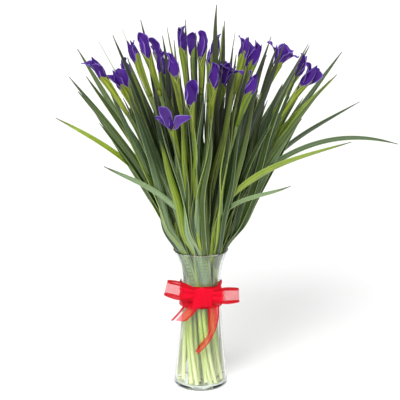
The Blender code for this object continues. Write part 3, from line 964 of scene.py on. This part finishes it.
def vase_piece():
    """One lathe: down the outer side to a rounded foot, in to the middle underneath, then from the middle of
    the thick floor up the inner side to a rounded lip."""
    lip = GLASS / 2
    z = np.linspace(VASE_HEIGHT - lip, FOOT_ROUND, 70)
    outer = np.stack([vase_radius(z), z], axis=1)
    foot = arc((vase_radius(FOOT_ROUND) - FOOT_ROUND, FOOT_ROUND), FOOT_ROUND, 0, -90, 8)
    under = np.array([[FOOT_RADIUS - 0.012, 0.0], [FOOT_RADIUS - 0.016, 0.0012], [0.0005, 0.0016]])
    corner = vase_radius(0.012) - GLASS - INNER_ROUND
    bottom = arc((corner, FLOOR + INNER_ROUND), INNER_ROUND, -90, 0, 8)
    floor = np.array([[0.0005, FLOOR + 0.0006], [0.02, FLOOR + 0.0002]])
    z = np.linspace(FLOOR + 0.006, VASE_HEIGHT - lip, 70)
    inner = np.stack([vase_radius(z) - GLASS, z], axis=1)
    mouth = arc((vase_radius(VASE_HEIGHT - lip) - lip, VASE_HEIGHT - lip), lip, 180, 0, 9)[1:-1]
    profile = np.concatenate([outer, foot[1:], under, floor, bottom, inner, mouth])
    body = Body()
    points = lathe(profile)
    body.add(np.concatenate([points, points[:1]]), wrap=True)
    return body


def water_piece():
    """The water: a lathe just inside the glass. Its surface is drawn up a little where it meets the
    glass."""
    z = np.linspace(WATER_TOP, FLOOR + 0.006, 60)
    wall = np.stack([vase_radius(z) - GLASS - WATER_GAP, z], axis=1)
    corner = arc((wall[-1, 0] - INNER_ROUND, FLOOR + 0.0055), INNER_ROUND, 0, -90, 8)
    low = np.array([[0.02, FLOOR + 0.0012], [0.0005, FLOOR + 0.0013]])
    edge = wall[0, 0]
    surface = np.array([[edge - 0.0004, WATER_TOP - 0.0003], [edge - 0.0014, WATER_TOP - 0.0009],
                        [edge - 0.004, WATER_TOP - 0.0013], [0.0005, WATER_TOP - 0.0013]])
    profile = np.concatenate([wall, corner[1:], low, surface[::-1]])
    body = Body()
    points = lathe(profile)
    body.add(np.concatenate([points, points[:1]]), wrap=True)
    return body


# ---------------------------------------------------------------- bow

def organza(name, body, flat, held, node, **more):
    """A sheet of the ribbon. Its flat size and how it is held are not used."""
    piece = fitted(body.build(name, [ORGANZA]), node)
    return piece


def ribbon_band():
    """The ribbon twice round the waist, the second turn above the first: its angle grows with v, its
    height with u and with a step half way, and its radius is the vase's and a little more. Its gathers
    run round it, and its upper edge lifts to a corner beside the bow."""
    v = np.linspace(0, 1, 260)[:, None]
    u = np.linspace(-1, 1, 15)[None]
    angle = BAND_START + BAND_TURNS * math.tau * v
    centre = BAND_HEIGHT + BAND_CLIMB * ease(v, 0.42, 0.58) + 0.0008 * np.sin(3 * angle)
    corner = np.exp(-((angle - math.tau - BAND_CORNER) / 0.13) ** 2) * ease(u, -0.6, 1)
    z = centre + RIBBON_WIDTH / 2 * u + CORNER_RISE * corner
    gather = 0.0008 * np.sin(6 * u + 3 * np.sin(angle) + 3 * v) + 0.0004 * np.sin(13 * u - 9 * angle)
    radius = vase_radius(z) + 0.0016 + 0.0009 * v + gather + 0.0045 * corner
    points = np.stack([radius * np.cos(angle), radius * np.sin(angle), z], axis=-1)
    body = Body()
    body.add(points, shade=0.95)
    return organza("organza_wraps", body, (RIBBON_WIDTH, 0.445), "gathered", "ribbon_band")


def ribbon_knot():
    """A turn of ribbon over the middle of the bow. As the angle goes once round, its depth follows the
    cosine and its height the sine, both less towards its edges. Sines of u and the angle draw it into
    folds."""
    s = np.linspace(0, 1, 64)[:, None]
    u = np.linspace(-1, 1, 21)[None]
    angle = math.tau * s - math.pi / 2
    middle_x, middle_y, middle_z = KNOT_CENTRE
    pinch = KNOT_HALF_WIDTH - 0.0030 * np.cos(angle) ** 2
    fold = 0.0016 * np.sin(4 * u + 2.5 * np.sin(angle) + 0.5) + 0.0006 * np.sin(11 * u + 3 * np.sin(angle))
    x = middle_x + pinch * u * (1 + 0.16 * np.sin(angle)) + 0.0020 * np.sin(angle)
    y = middle_y - (KNOT_HALF_DEPTH + fold) * np.cos(angle) * (1 - 0.98 * u * u)
    z = middle_z + (KNOT_HALF_HEIGHT + fold) * np.sin(angle) * (1 - 0.20 * u * u) + 0.002 * u
    body = Body()
    uv = np.stack(np.meshgrid(np.linspace(0.2, 0.8, u.size), s[:, 0]), axis=-1)
    body.add(np.stack([x + 0 * z, y + 0 * x, z + 0 * x], axis=-1), uv, shade=1.0)
    return organza("organza_knot", body, (RIBBON_WIDTH, 0.075), "gathered", "ribbon_knot")


def ribbon_loop(name, node, inner, outer, depth, lean, length):
    """A loop of the bow, out from the knot in front and back behind. As a goes once round, its share of
    the way out is (1 - cos a) / 2 and its depth follows sin a. It is in gathers at the knot and flat at
    its far end, which lean turns so that its two edges are seen apart."""
    s = np.linspace(0, 1, 90)[:, None]
    u = np.linspace(-1, 1, 15)[None]
    a = math.tau * s
    share = (1 - np.cos(a)) / 2
    inner, outer = np.array(inner), np.array(outer)
    axis = (outer - inner) / np.linalg.norm(outer - inner)
    up = np.array([-axis[1], axis[0]]) * np.sign(axis[0])
    half = LOOP_WIDTH / 2 * (0.86 + 0.14 * ease(share, 0.05, 0.75))
    pleat = 0.0012 * (1 - ease(share, 0.0, 0.8)) * np.sin(8.5 * u + 2.0 * np.sin(a))
    crease = 0.0007 * np.sin(5 * u + 7 * share)
    centre = inner[None, None] + share[..., None] * (outer - inner)
    bulge = 0.10 * np.sin(math.pi * share) * half * u
    x = centre[..., 0] + up[0] * half * u + up[0] * bulge
    z = centre[..., 1] + up[1] * half * u + up[1] * bulge
    y = BOW_DEPTH - depth * np.sin(a) * (0.55 + 0.45 * share) + pleat + crease + lean * u * share
    body = Body()
    dense = 0.24 + 0.7 * (1 - ease(share, 0.35, 0.55)) + 0 * u
    body.add(np.stack([x, y + 0 * u, z], axis=-1), shade=dense)
    return organza(name, body, (RIBBON_WIDTH, length), "gathered", node)


def ribbon_tail(name, node, left, right, length, fold, sheer, **more):
    """A tail, ruled between two edge curves. Each edge is (v, x, y, z) stations. Its folds run down it.
    It is sheerer on its left where sheer is more."""
    v = np.linspace(0, 1, 48)
    u = np.linspace(-1, 1, 15)
    edges = []
    for table in (left, right):
        at, x, y, z = np.array(table).T
        edges.append(np.stack([eased(v, tuple(zip(at, column))) for column in (x, y, z)], axis=1))
    share = ((u + 1) / 2)[None, :, None]
    points = edges[0][:, None] * (1 - share) + edges[1][:, None] * share
    depth = fold * (1 - u**2)[None] * np.sin(4.2 * u[None] + 2.5 * v[:, None] + 0.6)
    points[..., 1] += depth
    body = Body()
    shade = 0.62 - sheer * (1 - ease(u, -0.42, -0.30))
    body.add(points, shade=np.broadcast_to(shade, points.shape[:2]))
    return organza(name, body, (RIBBON_WIDTH, length), "hung", node, **more)


# ---------------------------------------------------------------- the object

for number, (head, stage, turn, leaves) in enumerate(IRISES, 1):
    for piece in (stalk(number, head), foliage(number, head, leaves), spathe(number, head)):
        fitted(piece, f"iris_{number:02d}_stem")
    fitted(bloom(number, head, stage, turn), f"iris_{number:02d}_bloom")

fitted(vase_piece().build("glass_wall", [CLEAR_GLASS]), "vase")
fitted(water_piece().build("still_water", [CLEAR_WATER]), "water")

ribbon_band()
ribbon_knot()
ribbon_loop(
    "organza_loop_left", "ribbon_loop_left",
    inner=(-0.009, 0.174), outer=(-0.0595, 0.187), depth=0.0085, lean=0.002, length=0.118,
)
ribbon_loop(
    "organza_loop_right", "ribbon_loop_right",
    inner=(0.017, 0.171), outer=(0.0655, 0.1735), depth=0.0046, lean=-0.001, length=0.105,
)
ribbon_tail(
    "organza_tail_left", "ribbon_tail_left",
    ((0, -0.027, -0.041, 0.160), (0.4, -0.034, -0.0435, 0.149), (1, -0.051, -0.047, 0.130)),
    ((0, -0.004, -0.041, 0.150), (0.5, -0.014, -0.045, 0.139), (1, -0.025, -0.047, 0.1285)),
    length=0.036, fold=0.0016, sheer=0.75,
)
ribbon_tail(
    "organza_tail_right", "ribbon_tail_right",
    ((0, 0.0125, -0.0405, 0.152), (0.3, 0.0135, -0.044, 0.128), (0.6, 0.0110, -0.047, 0.103),
     (0.82, -0.0005, -0.049, 0.0885), (1, -0.0095, -0.051, 0.0755)),
    ((0, 0.0320, -0.0395, 0.154), (0.3, 0.0305, -0.043, 0.131), (0.6, 0.0245, -0.046, 0.110),
     (0.82, 0.0130, -0.048, 0.0880), (1, -0.0045, -0.051, 0.0705)),
    length=0.100, fold=0.0042, sheer=0.0, area=0.0020,
)

# ---------------------------------------------------------------- stage, lights and camera

ground = Body()
across_ground = np.linspace(-GROUND_SIDE, GROUND_SIDE, GROUND_LINES)
x, y = np.meshgrid(across_ground, np.linspace(GROUND_NEAR, GROUND_FAR, GROUND_LINES))
ground.add(np.stack([x, y, 0 * x], axis=-1))
ground.build("ground", [ground_finish()])


def soft_light(name, place, breadth, strength):
    """A far lamp that shines from place towards the origin. breadth is the angle it fills, in degrees."""
    light = bpy.data.lights.new(name, "SUN")
    light.angle = math.radians(breadth)
    light.energy = strength
    lamp = bpy.data.objects.new(name, light)
    lamp.location = place
    lamp.rotation_euler = (-Vector(place)).to_track_quat("-Z", "Y").to_euler()
    bpy.context.scene.collection.objects.link(lamp)


soft_light("key light", place=(-0.8, -2.1, 1.9), breadth=34, strength=2.35)
soft_light("fill light", place=(2.0, -1.2, 0.9), breadth=50, strength=0.5)
soft_light("top light", place=(0.2, 0.4, 2.6), breadth=90, strength=1.5)

# The sky is white to a ray from the camera, through glass or off a gloss, and SKY_LIGHT to any other.
world = bpy.data.worlds.new("studio")
world.use_nodes = True
nodes, links = world.node_tree.nodes, world.node_tree.links
background = nodes["Background"]
background.inputs["Color"].default_value = (1, 1, 1, 1)
rays = nodes.new("ShaderNodeLightPath")
bright = rays.outputs["Is Camera Ray"]
for kind in ("Is Transmission Ray", "Is Glossy Ray"):
    either = nodes.new("ShaderNodeMath")
    either.operation = "MAXIMUM"
    links.new(bright, either.inputs[0])
    links.new(rays.outputs[kind], either.inputs[1])
    bright = either.outputs[0]
strength = nodes.new("ShaderNodeMapRange")
strength.inputs["To Min"].default_value = SKY_LIGHT
strength.inputs["To Max"].default_value = 1.0
links.new(bright, strength.inputs["Value"])
links.new(strength.outputs[0], background.inputs["Strength"])
bpy.context.scene.world = world
bpy.context.scene.view_settings.view_transform = "Standard"

lens = bpy.data.cameras.new("camera")
lens.lens = CAMERA_LENS
camera = bpy.data.objects.new("camera", lens)
camera.location = CAMERA_PLACE
camera.rotation_euler = (CAMERA_TILT, 0, 0)
bpy.context.scene.collection.objects.link(camera)
bpy.context.scene.camera = camera
